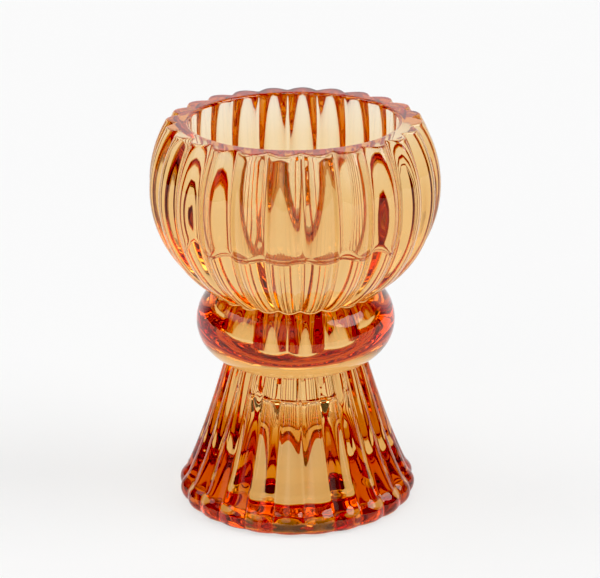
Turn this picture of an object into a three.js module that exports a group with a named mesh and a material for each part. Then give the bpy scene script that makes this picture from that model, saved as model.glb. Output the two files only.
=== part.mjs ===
// A two-way candle holder, 90 mm tall, in ribbed pressed glass with an amber coat outside. Standing
// as modelled it holds a tealight in the round bowl on top. Turned over, it holds a tapered dinner
// candle in the socket of the foot. Three glass members make it: the bowl, the smooth ring at the
// waist and the foot.
// Units are millimetres, +Z is up, and the origin is the middle of the base on the table.
import * as THREE from "three";

// Driving dimensions.
const HEIGHT = 90;
const RIBS = 24;
const FACES_PER_RIB = 4;
const JOINT_GAP = 0.3; // left between two members where the glass is joined

// Heights of the two joints, at the middle of their gaps.
const FOOT_JOINT_Z = 34.2;
const BOWL_JOINT_Z = 50.8;

// The bowl: almost an ellipse outside, cut flat at the rim and at the joint.
const BOWL = {
  radius: 33,
  halfHeight: 29.5,
  middleZ: 75.2,
  fullness: 0.95, // 1 is an ellipse, less is squarer
  rimEdge: 0.8,
  rimRibDepth: 2.4,
  ribDepth: 1.8,
  jointRibDepth: 1.3,
};
// The tealight's tapered cup in the bowl.
const CUP = {
  mouthRadius: 23.5,
  mouthEdge: 0.7,
  floorRadius: 21.6,
  floorZ: 65,
  floorFillet: 2.4,
};

// The ring: the outer part of a round section turned about the axis, flat at both joints.
const RING = { centreRadius: 13.5, centreZ: 43.1, sectionRadius: 9.3 };

// The foot: a rounded lip that stands on the table, and a flare that narrows up to the ring.
const FOOT = {
  contactRadius: 25.6,
  lipRadius: 27.6,
  lipZ: 2.7,
  lipRise: 1.7, // how far the lip goes straight up before it turns in
  flareRadius: 25.9,
  flareZ: 6,
  flareStart: [0.5, -1.1], // from the flare's lower end, where the lip's curve comes from
  flarePull: [22, 14.6], // the point that draws the flare inwards
  neckRadius: 16.9,
  neckZ: 31.6,
  jointRadius: 16,
  contactRibDepth: 0.4,
  lipRibDepth: 0.9,
  ribDepth: 1.3,
  fullRibZ: 12, // where the ribs reach their full depth
};
// The underside: a shallow recess inside the ring it stands on, and the dinner candle's blind
// socket in the middle, with a flared mouth.
const RECESS = { rimRadius: 22.4, rootRadius: 20.5, depth: 1.2 };
const SOCKET = {
  mouthRadius: 12.8,
  flareZ: 2.6,
  wallRadius: 11.4,
  shoulderRadius: 11.2,
  shoulderZ: 21.5,
  endRadius: 9,
  endZ: 25.5,
};

const QUARTER = Math.PI / 2;

function point(r, z) {
  return { r, z, rib: 0 };
}

// Points along a curve drawn in the half plane of radius and height.
function along(curve, steps) {
  return curve.getPoints(steps).map((p) => point(p.x, p.y));
}

// Points of an elliptical arc, angles in radians.
function arc(radius, z, halfWidth, halfHeight, from, to, steps) {
  return along(new THREE.EllipseCurve(radius, z, halfWidth, halfHeight, from, to, from > to), steps);
}

// Points up the round side of the bowl, between two angles from its widest height.
function bowlSide(from, to, steps) {
  const points = [];
  for (let i = 0; i <= steps; i += 1) {
    const angle = THREE.MathUtils.lerp(from, to, i / steps);
    const radius = BOWL.radius * Math.cos(angle) ** BOWL.fullness;
    points.push(point(radius, BOWL.middleZ + BOWL.halfHeight * Math.sin(angle)));
  }
  return points;
}

// Points of a curve from one point to another, pulled towards the points between them.
function bend(points, steps) {
  const vectors = points.map(([r, z]) => new THREE.Vector2(r, z));
  const Curve = points.length === 3 ? THREE.QuadraticBezierCurve : THREE.CubicBezierCurve;
  return along(new Curve(...vectors), steps);
}

// The same points with ribs cut into them, as deep as depthAt says for each height.
function ribbed(points, depthAt) {
  return points.map((p) => ({ ...p, rib: depthAt(p.z) }));
}

// The share of a rib's depth cut away at an angle: none on the round crest, all in the groove.
function groove(angle) {
  return 1 - Math.abs(Math.cos((RIBS * angle) / 2));
}

// Turns a profile, from axis to axis and anticlockwise, into a closed ribbed body about +Z.
function turned(name, profile) {
  const outline = profile.map((p) => new THREE.Vector2(p.r, p.z));
  const geometry = new THREE.LatheGeometry(outline, RIBS * FACES_PER_RIB);
  const position = geometry.getAttribute("position");
  for (let i = 0; i < position.count; i += 1) {
    const { r, rib } = profile[i % profile.length];
    const x = position.getX(i);
    const z = position.getZ(i);
    const scale = rib > 0 ? 1 - (rib * groove(Math.atan2(x, z))) / r : 1;
    position.setX(i, x * scale);
    position.setZ(i, z * scale);
  }
  geometry.rotateX(QUARTER); // the lathe turns about Y
  geometry.computeVertexNormals();
  const mesh = new THREE.Mesh(geometry, amberGlass());
  mesh.name = name;
  return mesh;
}

function amberGlass() {
  return new THREE.MeshStandardMaterial({
    color: 0xd98a3c,
    roughness: 0.04,
    metalness: 0,
    transparent: true,
    opacity: 0.6,
  });
}

// The bowl's ribs are shallowest at the joint and deepest at the rim.
function bowlRibDepth(z) {
  const { mapLinear } = THREE.MathUtils;
  if (z < CUP.floorZ) {
    return mapLinear(z, BOWL_JOINT_Z, CUP.floorZ, BOWL.jointRibDepth, BOWL.ribDepth);
  }
  return mapLinear(z, CUP.floorZ, HEIGHT, BOWL.ribDepth, BOWL.rimRibDepth);
}

// The ribbed bowl, with the tealight's cup in it.
function tealightBowl() {
  const jointZ = BOWL_JOINT_Z + JOINT_GAP / 2;
  const edge = BOWL.rimEdge;
  const angleAt = (z) => Math.asin((z - BOWL.middleZ) / BOWL.halfHeight);
  const side = bowlSide(angleAt(jointZ), angleAt(HEIGHT - edge), 12);
  const rimRadius = side[side.length - 1].r - edge;
  return turned("tealight_bowl", [
    point(0, jointZ),
    ...ribbed([...side, point(rimRadius, HEIGHT)], bowlRibDepth),
    point(CUP.mouthRadius + CUP.mouthEdge, HEIGHT),
    point(CUP.mouthRadius, HEIGHT - CUP.mouthEdge),
    ...arc(
      CUP.floorRadius - CUP.floorFillet, CUP.floorZ + CUP.floorFillet,
      CUP.floorFillet, CUP.floorFillet, 0, -QUARTER, 4,
    ),
    point(0, CUP.floorZ),
  ]);
}

// The smooth ring at the waist, solid glass, with a flat face at each joint.
function waistRing() {
  const bottomZ = FOOT_JOINT_Z + JOINT_GAP / 2;
  const topZ = BOWL_JOINT_Z - JOINT_GAP / 2;
  const { centreRadius, centreZ, sectionRadius } = RING;
  const angleAt = (z) => Math.asin((z - centreZ) / sectionRadius);
  const side = arc(
    centreRadius, centreZ, sectionRadius, sectionRadius, angleAt(bottomZ), angleAt(topZ), 14,
  );
  return turned("waist_ring", [point(0, bottomZ), ...side, point(0, topZ)]);
}

// The foot's ribs are shallow where it stands, deeper at the lip and deepest up the flare.
function footRibDepth(z) {
  const { lerp, mapLinear } = THREE.MathUtils;
  const { contactRibDepth, lipRibDepth, ribDepth, lipZ, fullRibZ } = FOOT;
  if (z < lipZ) {
    return lerp(contactRibDepth, lipRibDepth, z / lipZ);
  }
  return mapLinear(Math.min(z, fullRibZ), lipZ, fullRibZ, lipRibDepth, ribDepth);
}

// The flared, ribbed foot, with the dinner candle's socket in its underside.
function candleFoot() {
  const topZ = FOOT_JOINT_Z - JOINT_GAP / 2;
  const lipRounding = FOOT.lipRadius - FOOT.contactRadius;
  const underLip = arc(FOOT.contactRadius, FOOT.lipZ, lipRounding, FOOT.lipZ, -QUARTER, 0, 4);
  const overLip = bend(
    [
      [FOOT.lipRadius, FOOT.lipZ],
      [FOOT.lipRadius, FOOT.lipZ + FOOT.lipRise],
      [FOOT.flareRadius + FOOT.flareStart[0], FOOT.flareZ + FOOT.flareStart[1]],
      [FOOT.flareRadius, FOOT.flareZ],
    ],
    3,
  );
  const flare = bend(
    [[FOOT.flareRadius, FOOT.flareZ], FOOT.flarePull, [FOOT.neckRadius, FOOT.neckZ]],
    7,
  );
  const outside = [...underLip, ...overLip.slice(1), ...flare.slice(1)];
  return turned("candle_foot", [
    point(0, SOCKET.endZ),
    point(SOCKET.endRadius, SOCKET.endZ),
    point(SOCKET.shoulderRadius, SOCKET.shoulderZ),
    point(SOCKET.wallRadius, SOCKET.flareZ),
    point(SOCKET.mouthRadius, RECESS.depth),
    point(RECESS.rootRadius, RECESS.depth),
    point(RECESS.rimRadius, 0),
    ...ribbed([...outside, point(FOOT.jointRadius, topZ)], footRibDepth),
    point(0, topZ),
  ]);
}

const holder = new THREE.Group();
holder.add(tealightBowl(), waistRing(), candleFoot());

export default holder;
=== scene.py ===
"""The looks of the ribbed glass tealight holder, on a pale table in a soft studio light.

The holder is one piece of clear glass with a clear amber coat on its outside and its underside. It
is turned about the axis from one outline, with ribs pressed into the bowl and the foot. The CAD's
frame is used throughout: +Z up, the origin in the middle of the base. Outlines are in millimetres.
"""

import math

import bpy
import numpy as np
from mathutils import Matrix, Vector


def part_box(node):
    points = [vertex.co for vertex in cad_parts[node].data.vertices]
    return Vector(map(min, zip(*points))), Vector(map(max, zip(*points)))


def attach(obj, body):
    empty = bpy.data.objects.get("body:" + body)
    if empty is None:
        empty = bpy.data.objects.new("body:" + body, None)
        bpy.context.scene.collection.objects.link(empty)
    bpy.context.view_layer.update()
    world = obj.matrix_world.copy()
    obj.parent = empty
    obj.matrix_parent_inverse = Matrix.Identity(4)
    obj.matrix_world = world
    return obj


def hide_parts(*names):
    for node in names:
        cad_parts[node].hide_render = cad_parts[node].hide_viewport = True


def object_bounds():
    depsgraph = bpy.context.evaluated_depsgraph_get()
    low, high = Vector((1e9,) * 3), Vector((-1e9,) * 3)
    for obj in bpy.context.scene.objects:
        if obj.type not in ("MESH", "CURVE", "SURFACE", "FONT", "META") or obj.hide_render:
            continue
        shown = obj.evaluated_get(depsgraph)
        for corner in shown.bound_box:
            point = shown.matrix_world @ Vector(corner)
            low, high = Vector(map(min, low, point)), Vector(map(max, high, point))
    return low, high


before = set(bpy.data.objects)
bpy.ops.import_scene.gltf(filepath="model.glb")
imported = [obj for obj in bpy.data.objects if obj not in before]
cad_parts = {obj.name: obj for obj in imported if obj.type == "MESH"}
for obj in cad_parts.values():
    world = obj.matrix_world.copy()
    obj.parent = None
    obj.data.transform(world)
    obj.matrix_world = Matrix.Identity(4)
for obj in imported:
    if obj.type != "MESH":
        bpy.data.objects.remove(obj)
cad_low, cad_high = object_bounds()

MM = 0.001
QUARTER = math.pi / 2

# Outer sizes, from the CAD members.
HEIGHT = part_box("tealight_bowl")[1][2] / MM
BOWL_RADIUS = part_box("tealight_bowl")[1][0] / MM
RING_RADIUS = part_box("waist_ring")[1][0] / MM
LIP_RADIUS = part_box("candle_foot")[1][0] / MM

# The bowl and its cup.
BOWL_MIDDLE_Z = 75.2
BOWL_HALF_HEIGHT = 29.5
BOWL_FULLNESS = 0.95  # 1 is an ellipse, less is squarer
BOWL_LOW_Z = 50.5
RIM_ROUNDING = 0.8
CUP_MOUTH_RADIUS = 23.5
CUP_FLOOR_RADIUS = 21.6
CUP_FLOOR_Z = 65
CUP_FILLET = 2.4

# The ring at the waist.
RING_CENTRE_RADIUS = 13.5
RING_CENTRE_Z = 43.1

# The foot.
FOOT_TOP_RADIUS = 15.6
FOOT_TOP_Z = 35.5
NECK_RADIUS = 16.9
NECK_Z = 31.6
FLARE_PULL = (22, 14.6)  # draws the flare inwards
FLARE_RADIUS = 25.9
FLARE_Z = 6
FLARE_START = (0.5, -1.1)  # from the flare's lower end, where the lip's curve comes from
LIP_RISE = 1.7
LIP_Z = 2.7
CONTACT_RADIUS = 25.6

# The underside, from the axis out to the edge: radius, height and how far its corner is rounded.
SOCKET_END = [(0, 25.5, 0), (9, 25.5, 1)]
SOCKET_WALL = [(11.2, 21.5, 2), (11.4, 2.5, 0.8), (12.8, 1.3, 0.5)]
RECESS = [(20.5, 1.2, 1), (22.4, 0, 0.4), (CONTACT_RADIUS, 0, 0)]

# The ribs.
RIBS = 24
RIM_RIB_DEPTH = 2.4
BOWL_RIB_DEPTH = 1.8
BOWL_LOW_RIB_DEPTH = 1.3
FOOT_RIB_DEPTH = 1.3
FOOT_RIB_Z = 12  # where the foot's ribs reach that depth
LIP_RIB_DEPTH = 0.9
CONTACT_RIB_DEPTH = 0.4
BASE_RIB_START = 23  # the radius under the foot where its ribs fade out
GROOVE_SOFTNESS = 0.12  # 0 is a knife-sharp groove between two ribs
CREASE_ROUNDING = 0.3  # how softly one member runs into the next
WAVINESS = 0.05  # how far the pressed outside strays from true
# The waves in it: how many go round, how far each turns per millimetre up, and where it starts.
SLOW_WAVE = (4, -0.19, 1.3)
QUICK_WAVE = (7, 0.11, 0)

# The mesh: steps round a rib and along each part of the outline.
STEPS_PER_RIB = 12
BUNCHING = 0.55  # how far the steps round a rib crowd towards its grooves
CORNER_STEPS = 8
FLARE_STEPS = 24
NECK_STEPS = 6
SIDE_STEPS = 60  # up the ring, and up the bowl
RIM_STEPS = 6
FILLET_STEPS = 10
WALL_STEPS = 16
FLOOR_STEPS = 12
LONGEST_CORNER = 0.9  # the share of a straight side that a rounded corner may take
CREASE_STEP = 0.17  # between rows where two members meet
BOWL_CREASE_HEIGHT = 4  # how far up the bowl its crease with the ring can reach
SAME_ROW = 0.01  # rows closer together than this count as one

# The glass and its coat.
IOR = 1.5
# The share of red, green and blue that a coat of thickness 1 lets through when crossed squarely.
COAT_COLOUR = (0.945, 0.73, 0.44)
# Heights and thicknesses: heavy on the foot and the ring, thinning out to the rim.
COAT_BY_HEIGHT = [
    (0, 1.1), (14, 0.95), (30, 0.85), (40, 1), (55, 0.8), (72, 0.95), (82, 0.6), (90, 0.15),
]
THICKEST_COAT = 2.0  # the top of the curve that holds those thicknesses
COAT_UNEVENNESS = 0.12
COAT_PATCH = 0.022  # metres across
CLOUD_DETAIL = 3
SOCKET_COAT = 0.8  # the coat's share of its thickness in the socket's mouth
SOCKET_COAT_FADE = (16, 24)  # it thins out to nothing between these heights
LONGEST_CROSSING = 5.0  # no ray crosses more than this many thicknesses at once
RIPPLE_SIZE = 0.007  # metres across
RIPPLE_HEIGHT = 0.00002  # metres

# The camera, in degrees and metres, with the lens and the sensor in millimetres. The azimuth goes
# round from the front of the frame towards +X.
CAMERA_AZIMUTH = 4.4
CAMERA_ELEVATION = 20
CAMERA_ROLL = -0.5
CAMERA_DISTANCE = 0.56
LENS = 146.2
SENSOR_WIDTH = 36
SHIFT = (0.0072, 0.0333)
NEAREST_SEEN = 0.01

# The studio.
FLOOR_REACH = 3  # metres to each side
FLOOR_Z = -0.0001  # just below the foot, so that the two never share a surface
FLOOR_WHITE = 0.35
FLOOR_GLOW = 0.59
ROOM_LIGHT = 0.1
BLACK_LEVEL = 0.02
MOST_BOUNCES = 32  # light goes back and forth many times in thick glass
MOST_REFLECTIONS = 16
# Soft round lights: degrees round from the back over the left, degrees up, outer and inner angle
# from the middle, and strength.
BACKDROP = (0, 8, 62, 34, 0.85)
LEFT_LIGHT = (90, 52, 28, 14, 2.2)
RIGHT_LIGHT = (264, 44, 22, 19, 4)
FRONT_LIGHT = (160, 32, 30, 12, 0.9)
TOP_LIGHT = (180, 78, 14, 9, 4)


# Curves in the half plane of radius and height.

def arc(centre, radii, start, end, steps, fullness=1.0):
    """Points of an arc, angles in radians. A fullness under 1 makes it squarer than an ellipse."""
    points = []
    for angle in np.linspace(start, end, steps + 1):
        reach = max(math.cos(angle), 0) ** fullness
        points.append((centre[0] + radii[0] * reach, centre[1] + radii[1] * math.sin(angle)))
    return points


def bend(controls, steps):
    """Points of a Bezier curve through its first and last control point."""
    points = []
    for t in np.linspace(0, 1, steps + 1):
        level = [np.array(c, dtype=float) for c in controls]
        while len(level) > 1:
            level = [a + (b - a) * t for a, b in zip(level, level[1:])]
        points.append(tuple(level[0]))
    return points


def line(start, end, steps):
    return bend([start, end], steps)


def rounded(points):
    """A polyline of radius, height and corner rounding, with its corners rounded off."""
    result = [points[0][:2]]
    for before, corner, after in zip(points, points[1:], points[2:]):
        middle = Vector(corner[:2])
        first = Vector(before[:2]) - middle
        second = Vector(after[:2]) - middle
        reach = min(corner[2], first.length * LONGEST_CORNER, second.length * LONGEST_CORNER)
        start = middle + first.normalized() * reach
        end = middle + second.normalized() * reach
        result += line(result[-1], start, CORNER_STEPS)
        result += bend([start, middle, end], CORNER_STEPS)
    return result + line(result[-1], points[-1][:2], CORNER_STEPS)


def foot_curve():
    """From the floor, round the lip and up the flare, on into the ring."""
    lip_size = (LIP_RADIUS - CONTACT_RADIUS, LIP_Z)
    under_lip = arc((CONTACT_RADIUS, LIP_Z), lip_size, -QUARTER, 0, CORNER_STEPS)
    over_lip = bend(
        [
            (LIP_RADIUS, LIP_Z),
            (LIP_RADIUS, LIP_Z + LIP_RISE),
            (FLARE_RADIUS + FLARE_START[0], FLARE_Z + FLARE_START[1]),
            (FLARE_RADIUS, FLARE_Z),
        ],
        CORNER_STEPS,
    )
    flare = bend([(FLARE_RADIUS, FLARE_Z), FLARE_PULL, (NECK_RADIUS, NECK_Z)], FLARE_STEPS)
    neck = line(flare[-1], (FOOT_TOP_RADIUS, FOOT_TOP_Z), NECK_STEPS)
    return under_lip + over_lip + flare + neck


def ring_curve():
    size = RING_RADIUS - RING_CENTRE_RADIUS
    centre = (RING_CENTRE_RADIUS, RING_CENTRE_Z)
    return arc(centre, (size, size), -QUARTER, QUARTER, SIDE_STEPS)


def bowl_curve():
    """From inside the ring up to the outer edge of the rim."""
    low = math.asin((BOWL_LOW_Z - BOWL_MIDDLE_Z) / BOWL_HALF_HEIGHT)
    high = math.asin((HEIGHT - RIM_ROUNDING - BOWL_MIDDLE_Z) / BOWL_HALF_HEIGHT)
    centre = (0, BOWL_MIDDLE_Z)
    radii = (BOWL_RADIUS, BOWL_HALF_HEIGHT)
    side = arc(centre, radii, low, high, SIDE_STEPS, BOWL_FULLNESS)
    edge = side[-1][0]
    corner = (edge - RIM_ROUNDING / 3, HEIGHT)  # inside the edge, since the side leans inwards
    rim = bend([side[-1], corner, (edge - RIM_ROUNDING, HEIGHT)], RIM_STEPS)
    return side + rim[1:]


def cup_curve():
    """From the outer edge of the rim over it and down to the middle of the cup's floor."""
    inner = CUP_MOUTH_RADIUS + RIM_ROUNDING
    fillet_middle = (CUP_FLOOR_RADIUS - CUP_FILLET, CUP_FLOOR_Z + CUP_FILLET)
    flat = line(bowl_curve()[-1], (inner, HEIGHT), CORNER_STEPS)
    lip_size = (-RIM_ROUNDING, RIM_ROUNDING)
    lip = arc((inner, HEIGHT - RIM_ROUNDING), lip_size, QUARTER, 0, RIM_STEPS)
    fillet = arc(fillet_middle, (CUP_FILLET, CUP_FILLET), 0, -QUARTER, FILLET_STEPS)
    wall = line(lip[-1], fillet[0], WALL_STEPS)
    floor = line(fillet[-1], (0, CUP_FLOOR_Z), FLOOR_STEPS)
    return flat[1:] + lip[1:] + wall[1:] + fillet[1:] + floor[1:]


# Ribs.

def groove(angle):
    """The share of a rib's depth cut away at an angle: none on the crest, all in the groove."""
    crest = np.sqrt(np.cos(RIBS * angle / 2) ** 2 + GROOVE_SOFTNESS**2)
    highest = math.sqrt(1 + GROOVE_SOFTNESS**2)
    return (highest - crest) / (highest - GROOVE_SOFTNESS)


def rib_angles():
    """Angles right round the body from the front, closer together in the grooves."""
    step = np.arange(STEPS_PER_RIB) * 2 / STEPS_PER_RIB - 1
    step = step + BUNCHING * np.sin(math.pi * step) / math.pi
    return (2 * np.arange(RIBS)[:, None] + step[None, :]).ravel() * math.pi / RIBS


def foot_rib_depth(z):
    depths = [CONTACT_RIB_DEPTH, LIP_RIB_DEPTH, FOOT_RIB_DEPTH]
    return np.interp(z, [0, LIP_Z, FOOT_RIB_Z], depths)


def bowl_rib_depth(z):
    depths = [BOWL_LOW_RIB_DEPTH, BOWL_RIB_DEPTH, RIM_RIB_DEPTH]
    return np.interp(z, [BOWL_LOW_Z, CUP_FLOOR_Z, HEIGHT], depths)


def rim_rib_depth(r):
    """Rib depth on the flat top of the rim, fading out towards the mouth."""
    return np.interp(r, [CUP_MOUTH_RADIUS + RIM_ROUNDING, bowl_curve()[-1][0]], [0, RIM_RIB_DEPTH])


def base_rib_depth(r):
    return np.interp(r, [BASE_RIB_START, CONTACT_RADIUS], [0, CONTACT_RIB_DEPTH])


def wave(angles, z, count, turn, start):
    return np.sin(count * angles + turn * z + start)


def stray(angles, z):
    """How far the outside strays at each angle, fading out where it stands and at the rim."""
    waves = wave(angles, z, *SLOW_WAVE) + wave(angles, z, *QUICK_WAVE)
    fade = np.interp(z, [0, LIP_Z, HEIGHT - LIP_Z, HEIGHT], [0, 1, 1, 0])
    return WAVINESS * fade * waves / 2


# Rows of the body: a height, the radius at every angle, and whether the glass from this row to the
# next one is coated.

def radius_at(curve, z):
    """A curve's radius at a height, and far below zero where the curve doesn't reach."""
    radii, heights = zip(*curve)
    return np.interp(z, heights, radii, left=-HEIGHT, right=-HEIGHT)


def run_together(first, second):
    """The larger of two radii, with the crease between them rounded."""
    near = np.maximum(CREASE_ROUNDING - np.abs(first - second), 0) / CREASE_ROUNDING
    return np.maximum(first, second) + near**2 * CREASE_ROUNDING / 4


def outside_heights():
    """Heights up the outside, closest together where two members meet."""
    foot_crease = np.arange(NECK_Z, FOOT_TOP_Z, CREASE_STEP)
    bowl_crease = np.arange(BOWL_LOW_Z, BOWL_LOW_Z + BOWL_CREASE_HEIGHT, CREASE_STEP)
    heights = [z for _, z in foot_curve() if z < NECK_Z]
    heights += list(foot_crease)
    heights += [z for _, z in ring_curve() if foot_crease[-1] < z < BOWL_LOW_Z]
    heights += list(bowl_crease)
    heights += [z for _, z in bowl_curve() if z > bowl_crease[-1]]
    return heights


def outside_rows(angles):
    cuts = groove(angles)
    foot, ring, bowl = foot_curve(), ring_curve(), bowl_curve()
    rows = []
    for z in outside_heights():
        foot_radius = radius_at(foot, z) - foot_rib_depth(z) * cuts
        ring_radius = radius_at(ring, z) + 0 * cuts
        bowl_radius = radius_at(bowl, z) - bowl_rib_depth(z) * cuts
        radius = run_together(run_together(foot_radius, ring_radius), bowl_radius)
        rows.append((z, radius + stray(angles, z), True))
    return rows


def underside_rows(angles):
    rows = []
    for r, z in rounded(SOCKET_END + SOCKET_WALL + RECESS):
        depth = base_rib_depth(r) if z == 0 else 0.0
        rows.append((z, r - depth * groove(angles), True))
    return rows


def rim_and_cup_rows(angles):
    rows = []
    for r, z in cup_curve():
        on_top = z > HEIGHT - SAME_ROW
        depth = rim_rib_depth(r) if on_top else 0.0
        rows.append((z, r - depth * groove(angles), on_top))
    return rows


def glass_rows(angles):
    """All rows from the end of the socket, round the outside, to the middle of the cup's floor."""
    rows = underside_rows(angles) + outside_rows(angles) + rim_and_cup_rows(angles)
    kept = [rows[0]]
    for row in rows[1:]:
        if abs(row[0] - kept[-1][0]) + np.max(np.abs(row[1] - kept[-1][1])) > SAME_ROW:
            kept.append(row)
    return kept


# Mesh.

def turned_vertices(angles, rows):
    """The vertices, with the first and the last row as single points on the axis."""
    vertices = [(0, 0, rows[0][0] * MM)]
    for z, radii, _ in rows[1:-1]:
        for radius, angle in zip(radii * MM, angles):
            vertices.append((radius * math.sin(angle), -radius * math.cos(angle), z * MM))
    vertices.append((0, 0, rows[-1][0] * MM))
    return vertices


def turned_faces(count, rows):
    """The faces between neighbouring rows, and for each whether it is coated."""
    rings = len(rows) - 2  # the first and the last row are single points
    last_point = 1 + rings * count
    faces = []
    coated = []
    for i in range(count):
        j = (i + 1) % count
        faces.append((0, 1 + j, 1 + i))
        coated.append(rows[0][2])
        for ring in range(rings - 1):
            here = 1 + ring * count
            after = here + count
            faces.append((here + i, here + j, after + j, after + i))
            coated.append(rows[ring + 1][2])
        last_ring = last_point - count
        faces.append((last_ring + i, last_ring + j, last_point))
        coated.append(rows[-2][2])
    return faces, coated


def glass_body():
    angles = rib_angles()
    rows = glass_rows(angles)
    faces, coated = turned_faces(len(angles), rows)
    mesh = bpy.data.meshes.new("glass_body")
    mesh.from_pydata(turned_vertices(angles, rows), [], faces)
    mesh.materials.append(bare_glass())
    mesh.materials.append(coated_glass())
    mesh.polygons.foreach_set("material_index", [int(c) for c in coated])
    mesh.polygons.foreach_set("use_smooth", [True] * len(faces))
    mesh.update()
    body = bpy.data.objects.new("glass_body", mesh)
    bpy.context.scene.collection.objects.link(body)
    return body


# Materials.

def new_material(name):
    material = bpy.data.materials.new(name)
    material.use_nodes = True
    return material, material.node_tree


def maths(tree, operation, first, second=None):
    """A maths node's output. An input is a socket or a number."""
    node = tree.nodes.new("ShaderNodeMath")
    node.operation = operation
    for value, socket in zip((first, second), node.inputs):
        if isinstance(value, (int, float)):
            socket.default_value = value
        elif value is not None:
            tree.links.new(value, socket)
    return node.outputs["Value"]


def ranged(tree, value, low, high, at_low=0.0, at_high=1.0):
    """A smooth step of a value: at_low up to low, and at_high from high on."""
    node = tree.nodes.new("ShaderNodeMapRange")
    node.interpolation_type = "SMOOTHSTEP"
    tree.links.new(value, node.inputs["Value"])
    for name, number in (("From Min", low), ("From Max", high), ("To Min", at_low), ("To Max", at_high)):
        node.inputs[name].default_value = number
    return node.outputs["Result"]


def object_place(tree):
    return tree.nodes.new("ShaderNodeTexCoord").outputs["Object"]


def clouds(tree, size):
    """Soft noise from 0 to 1, with patches of a size in metres."""
    noise = tree.nodes.new("ShaderNodeTexNoise")
    noise.inputs["Scale"].default_value = 1 / size
    noise.inputs["Detail"].default_value = CLOUD_DETAIL
    tree.links.new(object_place(tree), noise.inputs["Vector"])
    return noise.outputs["Fac"]


def ripples(tree):
    """The faint ripples that pressing leaves in the glass, as a normal."""
    bump = tree.nodes.new("ShaderNodeBump")
    bump.inputs["Strength"].default_value = 1
    bump.inputs["Distance"].default_value = RIPPLE_HEIGHT
    tree.links.new(clouds(tree, RIPPLE_SIZE), bump.inputs["Height"])
    return bump.outputs["Normal"]


def thickness_by_height(tree, height):
    """The coat's thickness at a height in metres. The curve node runs from 0 to 1 both ways."""
    top = COAT_BY_HEIGHT[-1][0]
    curve = tree.nodes.new("ShaderNodeFloatCurve")
    points = curve.mapping.curves[0].points
    points[0].location = (0, COAT_BY_HEIGHT[0][1] / THICKEST_COAT)
    points[1].location = (1, COAT_BY_HEIGHT[-1][1] / THICKEST_COAT)
    for z, thickness in COAT_BY_HEIGHT[1:-1]:
        points.new(z / top, thickness / THICKEST_COAT)
    curve.mapping.update()
    tree.links.new(maths(tree, "DIVIDE", height, top * MM), curve.inputs["Value"])
    return maths(tree, "MULTIPLY", curve.outputs["Value"], THICKEST_COAT)


def coat_thickness(tree):
    """How thick the coat is: by height, a little uneven, and fading out up the socket."""
    axes = tree.nodes.new("ShaderNodeSeparateXYZ")
    tree.links.new(object_place(tree), axes.inputs["Vector"])
    x, y, z = (axes.outputs[name] for name in "XYZ")
    squares = maths(tree, "ADD", maths(tree, "POWER", x, 2), maths(tree, "POWER", y, 2))
    radius = maths(tree, "SQRT", squares)
    in_socket = maths(tree, "LESS_THAN", radius, SOCKET_WALL[-1][0] * MM)
    low, high = (height * MM for height in SOCKET_COAT_FADE)
    missing = ranged(tree, z, low, high, 1 - SOCKET_COAT, 1.0)
    reached = maths(tree, "SUBTRACT", 1.0, maths(tree, "MULTIPLY", in_socket, missing))
    patches = maths(tree, "SUBTRACT", clouds(tree, COAT_PATCH), 0.5)
    uneven = maths(tree, "MULTIPLY", patches, 2 * COAT_UNEVENNESS)
    even = maths(tree, "MULTIPLY", thickness_by_height(tree, z), reached)
    return maths(tree, "MULTIPLY", even, maths(tree, "ADD", uneven, 1.0))


def coat_crossing(tree, inside):
    """How much coat a ray crosses at the surface. The more it slants in the glass, the more."""
    facing = tree.nodes.new("ShaderNodeLayerWeight")
    facing.inputs["Blend"].default_value = 0.5
    cosine = maths(tree, "SUBTRACT", 1.0, facing.outputs["Facing"])
    sine_squared = maths(tree, "SUBTRACT", 1.0, maths(tree, "POWER", cosine, 2.0))
    bent_squared = maths(tree, "SUBTRACT", 1.0, maths(tree, "DIVIDE", sine_squared, IOR**2))
    bent = maths(tree, "SQRT", bent_squared)
    from_inside = maths(tree, "MULTIPLY", cosine, inside)
    from_outside = maths(tree, "MULTIPLY", bent, maths(tree, "SUBTRACT", 1.0, inside))
    in_glass = maths(tree, "MAXIMUM", maths(tree, "ADD", from_inside, from_outside), 1 / LONGEST_CROSSING)
    return maths(tree, "DIVIDE", coat_thickness(tree), in_glass)


def tinted(tree, crossing):
    """The colour that the coat lets through when light crosses that much of it."""
    colour = tree.nodes.new("ShaderNodeCombineColor")
    for name, share in zip(("Red", "Green", "Blue"), COAT_COLOUR):
        tree.links.new(maths(tree, "POWER", share, crossing), colour.inputs[name])
    return colour.outputs["Color"]


def glass_shader(tree, kind, colour, normal):
    """A perfectly smooth refracting or reflecting surface."""
    shader = tree.nodes.new(kind)
    shader.inputs["Roughness"].default_value = 0
    tree.links.new(colour, shader.inputs["Color"])
    tree.links.new(normal, shader.inputs["Normal"])
    return shader


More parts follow.
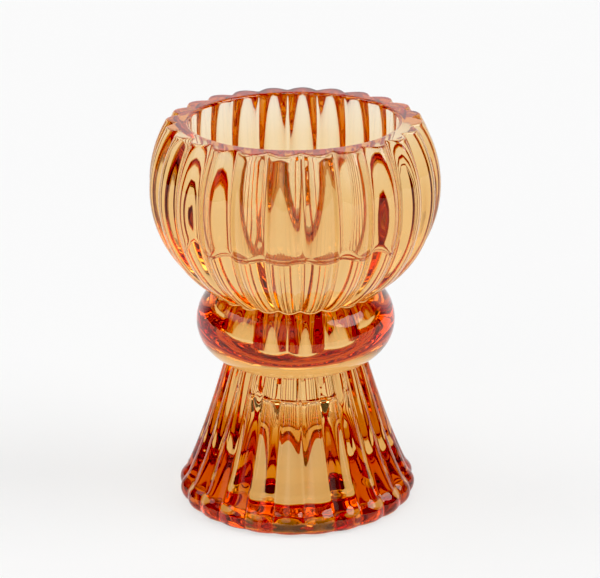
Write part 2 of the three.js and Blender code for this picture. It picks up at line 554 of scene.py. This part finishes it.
def coated_glass():
    """Clear glass with an amber coat. Light that is reflected inside crosses the coat twice."""
    material, tree = new_material("amber_coated_glass")
    tree.nodes.remove(tree.nodes["Principled BSDF"])
    inside = tree.nodes.new("ShaderNodeNewGeometry").outputs["Backfacing"]
    crossing = coat_crossing(tree, inside)
    there_and_back = maths(tree, "MULTIPLY", maths(tree, "MULTIPLY", crossing, 2.0), inside)
    normal = ripples(tree)
    through = glass_shader(tree, "ShaderNodeBsdfRefraction", tinted(tree, crossing), normal)
    through.inputs["IOR"].default_value = IOR
    back = glass_shader(tree, "ShaderNodeBsdfAnisotropic", tinted(tree, there_and_back), normal)
    fresnel = tree.nodes.new("ShaderNodeFresnel")
    fresnel.inputs["IOR"].default_value = IOR
    tree.links.new(normal, fresnel.inputs["Normal"])
    mix = tree.nodes.new("ShaderNodeMixShader")
    tree.links.new(fresnel.outputs["Fac"], mix.inputs["Fac"])
    tree.links.new(through.outputs["BSDF"], mix.inputs[1])
    tree.links.new(back.outputs["BSDF"], mix.inputs[2])
    tree.links.new(mix.outputs["Shader"], tree.nodes["Material Output"].inputs["Surface"])
    return material


def bare_glass():
    """The uncoated glass inside the cup."""
    material, tree = new_material("bare_glass")
    shader = tree.nodes["Principled BSDF"]
    shader.inputs["Base Color"].default_value = (1, 1, 1, 1)
    shader.inputs["Transmission Weight"].default_value = 1
    shader.inputs["Roughness"].default_value = 0
    shader.inputs["IOR"].default_value = IOR
    tree.links.new(ripples(tree), shader.inputs["Normal"])
    return material


def floor_material():
    """A matt pale floor that glows a little, like a light table, so that no shadow is heavy."""
    material, tree = new_material("pale_floor")
    shader = tree.nodes["Principled BSDF"]
    shader.inputs["Base Color"].default_value = (FLOOR_WHITE, FLOOR_WHITE, FLOOR_WHITE, 1)
    shader.inputs["Roughness"].default_value = 1
    shader.inputs["Specular IOR Level"].default_value = 0
    shader.inputs["Emission Color"].default_value = (1, 1, 1, 1)
    shader.inputs["Emission Strength"].default_value = FLOOR_GLOW
    return material


# Studio.

def make_floor():
    square = [(-1, -1), (1, -1), (1, 1), (-1, 1)]
    corners = [(x * FLOOR_REACH, y * FLOOR_REACH, FLOOR_Z) for x, y in square]
    mesh = bpy.data.meshes.new("floor")
    mesh.from_pydata(corners, [], [(0, 1, 2, 3)])
    mesh.materials.append(floor_material())
    floor = bpy.data.objects.new("floor", mesh)
    bpy.context.scene.collection.objects.link(floor)


def soft_light(tree, direction, round_from_back, up, outer, inner, strength):
    """The light of one soft round panel: full inside its inner angle, none outside its outer one."""
    azimuth = math.radians(round_from_back)
    elevation = math.radians(up)
    level = math.cos(elevation)
    middle = (-math.sin(azimuth) * level, math.cos(azimuth) * level, math.sin(elevation))
    closeness = tree.nodes.new("ShaderNodeVectorMath")
    closeness.operation = "DOT_PRODUCT"
    closeness.inputs[1].default_value = middle
    tree.links.new(direction, closeness.inputs[0])
    edges = math.cos(math.radians(outer)), math.cos(math.radians(inner))
    return ranged(tree, closeness.outputs["Value"], *edges, 0.0, strength)


def make_world():
    """A dim room with a bright backdrop and soft lights round the holder."""
    world = bpy.data.worlds.new("studio")
    world.use_nodes = True
    tree = world.node_tree
    direction = tree.nodes.new("ShaderNodeTexCoord").outputs["Generated"]
    light = ROOM_LIGHT
    for panel in (BACKDROP, LEFT_LIGHT, RIGHT_LIGHT, FRONT_LIGHT, TOP_LIGHT):
        light = maths(tree, "ADD", soft_light(tree, direction, *panel), light)
    background = tree.nodes["Background"]
    background.inputs["Color"].default_value = (1, 1, 1, 1)
    tree.links.new(light, background.inputs["Strength"])
    bpy.context.scene.world = world


def make_camera():
    target = Vector((0, 0, (cad_low[2] + cad_high[2]) / 2))
    azimuth = math.radians(CAMERA_AZIMUTH)
    elevation = math.radians(CAMERA_ELEVATION)
    level = math.cos(elevation)
    back = Vector((math.sin(azimuth) * level, -math.cos(azimuth) * level, math.sin(elevation)))
    data = bpy.data.cameras.new("camera")
    data.lens = LENS
    data.sensor_width = SENSOR_WIDTH
    data.shift_x, data.shift_y = SHIFT
    data.clip_start = NEAREST_SEEN
    camera = bpy.data.objects.new("camera", data)
    roll = Matrix.Rotation(math.radians(CAMERA_ROLL), 3, "Z")
    camera.rotation_mode = "QUATERNION"
    camera.rotation_quaternion = ((-back).to_track_quat("-Z", "Y").to_matrix() @ roll).to_quaternion()
    camera.location = target + back * CAMERA_DISTANCE
    bpy.context.scene.collection.objects.link(camera)
    bpy.context.scene.camera = camera


def set_view():
    """Plain colours with slightly deepened blacks, and enough bounces for thick glass."""
    scene = bpy.context.scene
    scene.view_settings.view_transform = "Standard"
    scene.view_settings.look = "None"
    scene.view_settings.use_curve_mapping = True
    scene.view_settings.curve_mapping.black_level = (BLACK_LEVEL, BLACK_LEVEL, BLACK_LEVEL)
    scene.cycles.max_bounces = MOST_BOUNCES
    scene.cycles.transmission_bounces = MOST_BOUNCES
    scene.cycles.glossy_bounces = MOST_REFLECTIONS


body = glass_body()
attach(body, "root")
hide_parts("tealight_bowl", "waist_ring", "candle_foot")
make_floor()
make_world()
make_camera()
set_view()
